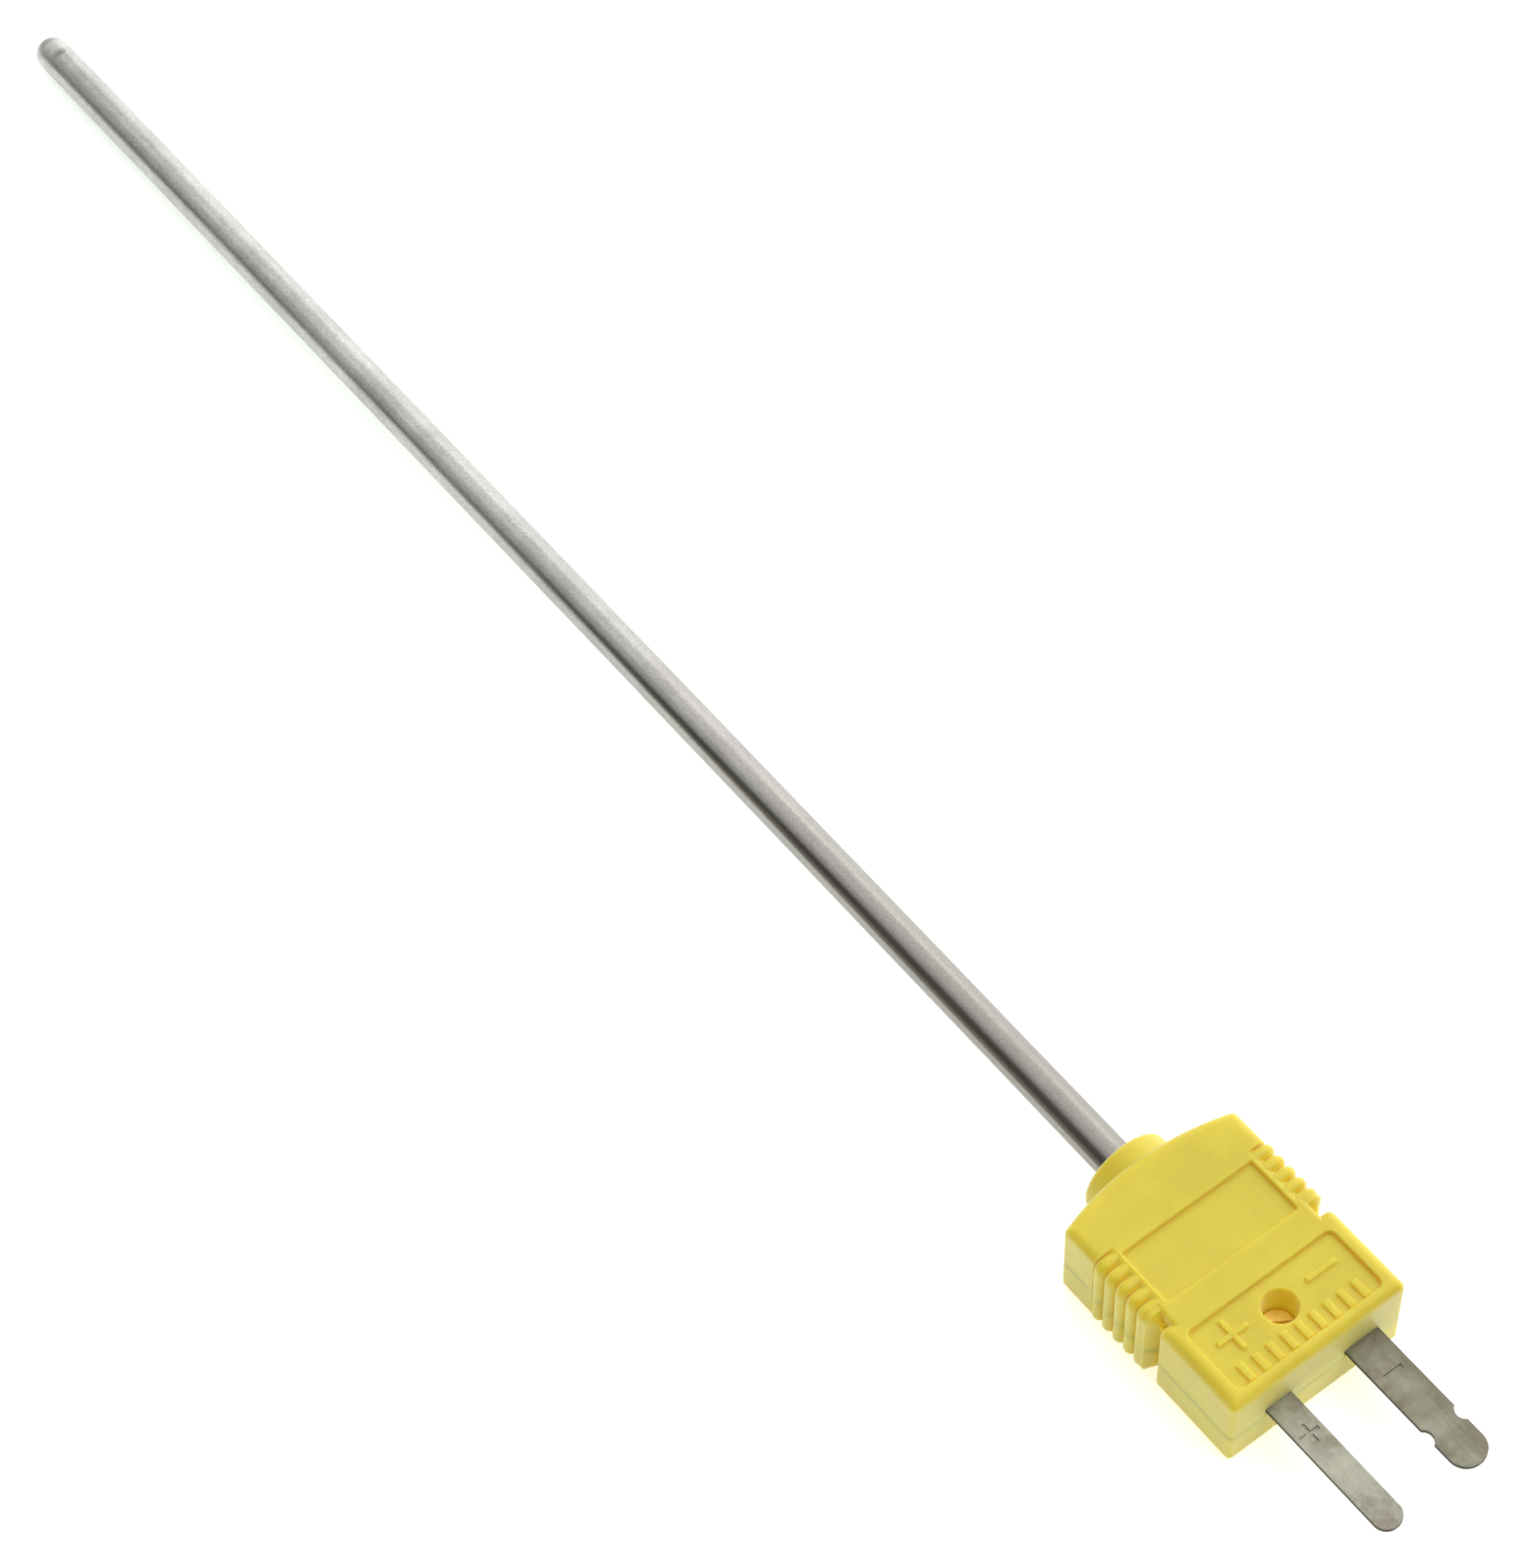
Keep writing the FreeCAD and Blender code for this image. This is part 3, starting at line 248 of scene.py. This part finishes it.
def yellow_plastic():
    """Satin moulded nylon with a fine spark-eroded grain and faint flow clouds.

    The label window is duller. Light that scatters inside the plastic warms its inner corners and
    the screw well, which a tint and a faint glow stand in for.
    """
    look = Look("yellow_plastic", Subsurface_Weight=0.9, Subsurface_Scale=0.0015, IOR=1.5,
                Subsurface_Radius=(1.0, 0.7, 0.08), Sheen_Weight=0.4, Sheen_Roughness=0.5,
                Sheen_Tint=(0.95, 1.0, 0.9, 1.0))
    clouds = look.noise(220.0, 4.0)
    specks = look.noise(5200.0, 2.0)
    base = look.blend(look.level(clouds, 0.3, 0.7),
                      rgb(0.64, 0.515, 0.016), rgb(0.70, 0.575, 0.026))
    base = look.blend(look.level(specks, 0.62, 0.8, 0.0, 0.2), base, rgb(0.74, 0.63, 0.1))
    window = look.inside(*LABEL_WINDOW)
    base = look.blend(look.math("MULTIPLY", window, 0.25), base, rgb(0.66, 0.54, 0.08))
    corners = look.add("ShaderNodeAmbientOcclusion", "AO", {"Distance": CORNER_REACH}, samples=8,
                       only_local=True)
    base = look.blend(look.level(corners, 0.4, 0.95, 0.8, 0.0), base, CORNER_COLOUR)
    look.colour(base)
    well = look.inside(*SCREW_WELL)
    corner_glow = look.level(corners, 0.1, 0.8, 0.06, 0.0)
    look.glow(look.math("MULTIPLY_ADD", well, 0.16, corner_glow), CORNER_GLOW)
    satin = look.level(clouds, 0.25, 0.75, 0.40, 0.5)
    look.roughness(look.math("MULTIPLY_ADD", window, 0.15, satin))
    look.bump((look.noise(450.0, 2.0), 0.00001), (look.noise(6500.0, 2.0), 0.000005))
    return look.material


def drawn_steel():
    """Drawn stainless tube: fine lines along the axis, a grain, and clouds of darker tone.

    It is darker towards the plug, with a painted dark reflection low on one side, and paler and
    duller at the tip, where a small crease is darkened with painted shade.
    """
    look = Look("drawn_steel", Metallic=1.0)
    clouds = look.noise(220.0, 6.0, 0.65)
    lines = look.noise(1.0, 3.0, 0.6, look.stretched(120.0, 5200.0, 5200.0))
    base = look.blend(look.level(clouds, 0.3, 0.7),
                      rgb(0.45, 0.44, 0.42), rgb(0.57, 0.565, 0.54))
    grain = look.noise(6000.0, 2.0)
    base = look.blend(look.level(grain, 0.35, 0.65, 0.0, 0.3), base, rgb(0.12, 0.11, 0.10))
    length = look.axis("X")
    # darker in clouds over the part of the sheath nearest the plug
    toward_plug_darkening = look.math("MULTIPLY", look.level(length, DARKENING_FROM, DARKENING_TO),
                        look.level(clouds, 0.2, 0.8, 0.45, 0.75))
    base = look.blend(toward_plug_darkening, base, rgb(0.20, 0.175, 0.15))
    # painted reflection: a dark band along the sheath, low on one side
    painted_reflection = look.near(PAINTED_REFLECTION_PLACE, PAINTED_REFLECTION_REACH)
    base = look.blend(look.level(painted_reflection, 0.0, 0.5, 0.0, 0.8), base, rgb(0.07, 0.06, 0.045))
    tip = look.level(length, TIP_END, TIP_SHOULDER, 1.0, 0.0)
    base = look.blend(tip, base, rgb(0.66, 0.65, 0.62))
    # the crease is a dent in the bump; its darker colour is painted shade in the dent
    crease = look.near(CREASE_PLACE, CREASE_REACH)
    base = look.blend(look.math("MULTIPLY", crease, 0.45), base, rgb(0.16, 0.17, 0.13))
    look.colour(base)
    look.roughness(look.math("MULTIPLY_ADD", tip, 0.2, look.level(lines, 0.3, 0.7, 0.3, 0.42)))
    look.bump((lines, 0.000002), (grain, 0.000004), (look.math("SUBTRACT", 1.0, crease), 0.00006))
    return look.material


def alloy_strip(name, dark, light):
    """Rolled thermocouple alloy: dull, blotched by oxide, faintly lined, with painted shade on its
    sides.
    """
    look = Look(name, Metallic=1.0)
    blotches = look.noise(420.0, 5.0, 0.6)
    lines = look.noise(1.0, 3.0, 0.6, look.stretched(250.0, 9000.0, 9000.0))
    base = look.blend(look.level(blotches, 0.3, 0.72), dark, light)
    oxide = look.level(look.noise(260.0, 5.0, 0.7), 0.48, 0.66, 0.0, 0.6)
    base = look.blend(oxide, base, rgb(0.17, 0.135, 0.10))
    # painted shade: faces not turned along Z, the blade's sides, are darkened almost to black
    painted_side_shade = look.level(look.facing("Z"), 0.3, 0.9, 0.85, 0.0)
    base = look.blend(painted_side_shade, base, rgb(0.05, 0.045, 0.025))
    look.colour(base)
    look.roughness(look.level(lines, 0.3, 0.7, 0.48, 0.6))
    look.bump((lines, 0.000003), (look.noise(1500.0, 3.0), 0.000004))
    return look.material


def plain_metal(name, dark, light, rough):
    """Bare or plated metal with a fine grain and a little tarnish."""
    look = Look(name, Metallic=1.0)
    clouds = look.noise(900.0, 4.0)
    look.colour(look.blend(look.level(clouds, 0.3, 0.7), dark, light))
    look.roughness(look.level(clouds, 0.3, 0.7, rough, rough + 0.15))
    look.bump((look.noise(3000.0, 2.0), 0.000006))
    return look.material


def dull_solid(name, dark, light, grain, rough=0.6):
    """A matt non-metal with a grain of its own size."""
    look = Look(name)
    mottle = look.noise(grain, 4.0)
    look.colour(look.blend(look.level(mottle, 0.3, 0.7), dark, light))
    look.roughness(look.level(mottle, 0.3, 0.7, rough, rough + 0.2))
    look.bump((mottle, 0.00002))
    return look.material


def soften_edges(names, width):
    """Round the sharp edges of CAD nodes with a bevel of this width."""
    for name in names:
        bevel = nodes[name].modifiers.new("soft_edges", "BEVEL")
        bevel.width = width
        bevel.segments = 2
        bevel.limit_method = "ANGLE"
        bevel.angle_limit = math.radians(40.0)
        bevel.harden_normals = True


def paint(names, material):
    """Give CAD nodes a material."""
    for name in names:
        mesh = nodes[name].data
        mesh.materials.clear()
        mesh.materials.append(material)


def paint_all():
    """Paint every CAD node."""
    paint(("upper_shell", "lower_shell"), yellow_plastic())
    paint(("sheath",), drawn_steel())
    positive = alloy_strip("positive_alloy", rgb(0.28, 0.275, 0.22), rgb(0.39, 0.385, 0.315))
    negative = alloy_strip("negative_alloy", rgb(0.17, 0.158, 0.115), rgb(0.27, 0.262, 0.205))
    paint(("positive_blade", "positive_wire", "measuring_junction"), positive)
    paint(("negative_blade", "negative_wire"), negative)
    brass = plain_metal("brass", rgb(0.84, 0.60, 0.13), rgb(0.98, 0.78, 0.24), 0.4)
    paint(("cover_screw", "threaded_insert", "crimp_sleeve"), brass)
    steel = plain_metal("plated_steel", rgb(0.50, 0.50, 0.50), rgb(0.65, 0.65, 0.65), 0.25)
    paint(("positive_terminal_screw", "negative_terminal_screw",
           "positive_washer", "negative_washer"), steel)
    paint(("mineral_insulation",),
          dull_solid("magnesia", rgb(0.8, 0.78, 0.74), rgb(0.92, 0.91, 0.88), 6000.0, 0.8))
    paint(("end_seal",), dull_solid("epoxy", rgb(0.02, 0.02, 0.02), rgb(0.05, 0.045, 0.04),
                                    1500.0, 0.3))
    paint(("positive_sleeving",),
          dull_solid("yellow_sleeve", rgb(0.6, 0.5, 0.05), rgb(0.8, 0.68, 0.1), 4000.0))
    paint(("negative_sleeving",),
          dull_solid("red_sleeve", rgb(0.4, 0.02, 0.02), rgb(0.6, 0.04, 0.03), 4000.0))


FLOOR_HALF_SIZE = 3.0
FLOOR_GAP = 0.00002
FLOOR_ROUGHNESS = 0.9
FLOOR_GLOW_COLOUR = rgb(0.94, 1.0, 0.93)
FLOOR_GLOW = 0.6


def floor_mesh():
    """A square that just clears the plug's rear lower edge and the probe's tip."""
    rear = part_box("lower_shell")[0]
    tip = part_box("sheath")[0]
    slope = (tip[2] - rear[2]) / (tip[0] - rear[0])
    half = FLOOR_HALF_SIZE
    corners = [(x, y, rear[2] + slope * (x - rear[0]) - FLOOR_GAP)
               for x, y in ((-half, -half), (half, -half), (half, half), (-half, half))]
    mesh = bpy.data.meshes.new("floor")
    mesh.from_pydata(corners, [], [(0, 1, 2, 3)])
    return mesh


def add_floor():
    """A plain white table that gives off some light of its own, so that shadows stay pale."""
    floor = bpy.data.objects.new("floor", floor_mesh())
    bpy.context.scene.collection.objects.link(floor)
    look = Look("floor_white")
    weave = look.noise(30.0, 3.0)
    look.colour(look.blend(look.level(weave, 0.3, 0.7), rgb(0.86, 0.86, 0.86),
                           rgb(0.88, 0.88, 0.88)))
    look.shader.inputs["Roughness"].default_value = FLOOR_ROUGHNESS
    look.shader.inputs["Emission Color"].default_value = FLOOR_GLOW_COLOUR
    look.shader.inputs["Emission Strength"].default_value = FLOOR_GLOW
    floor.data.materials.append(look.material)


add_camera()
add_lights()
add_floor()
paint_all()
soften_edges(("positive_blade", "negative_blade"), BLADE_BEVEL)
bpy.context.scene.view_settings.view_transform = "Standard"
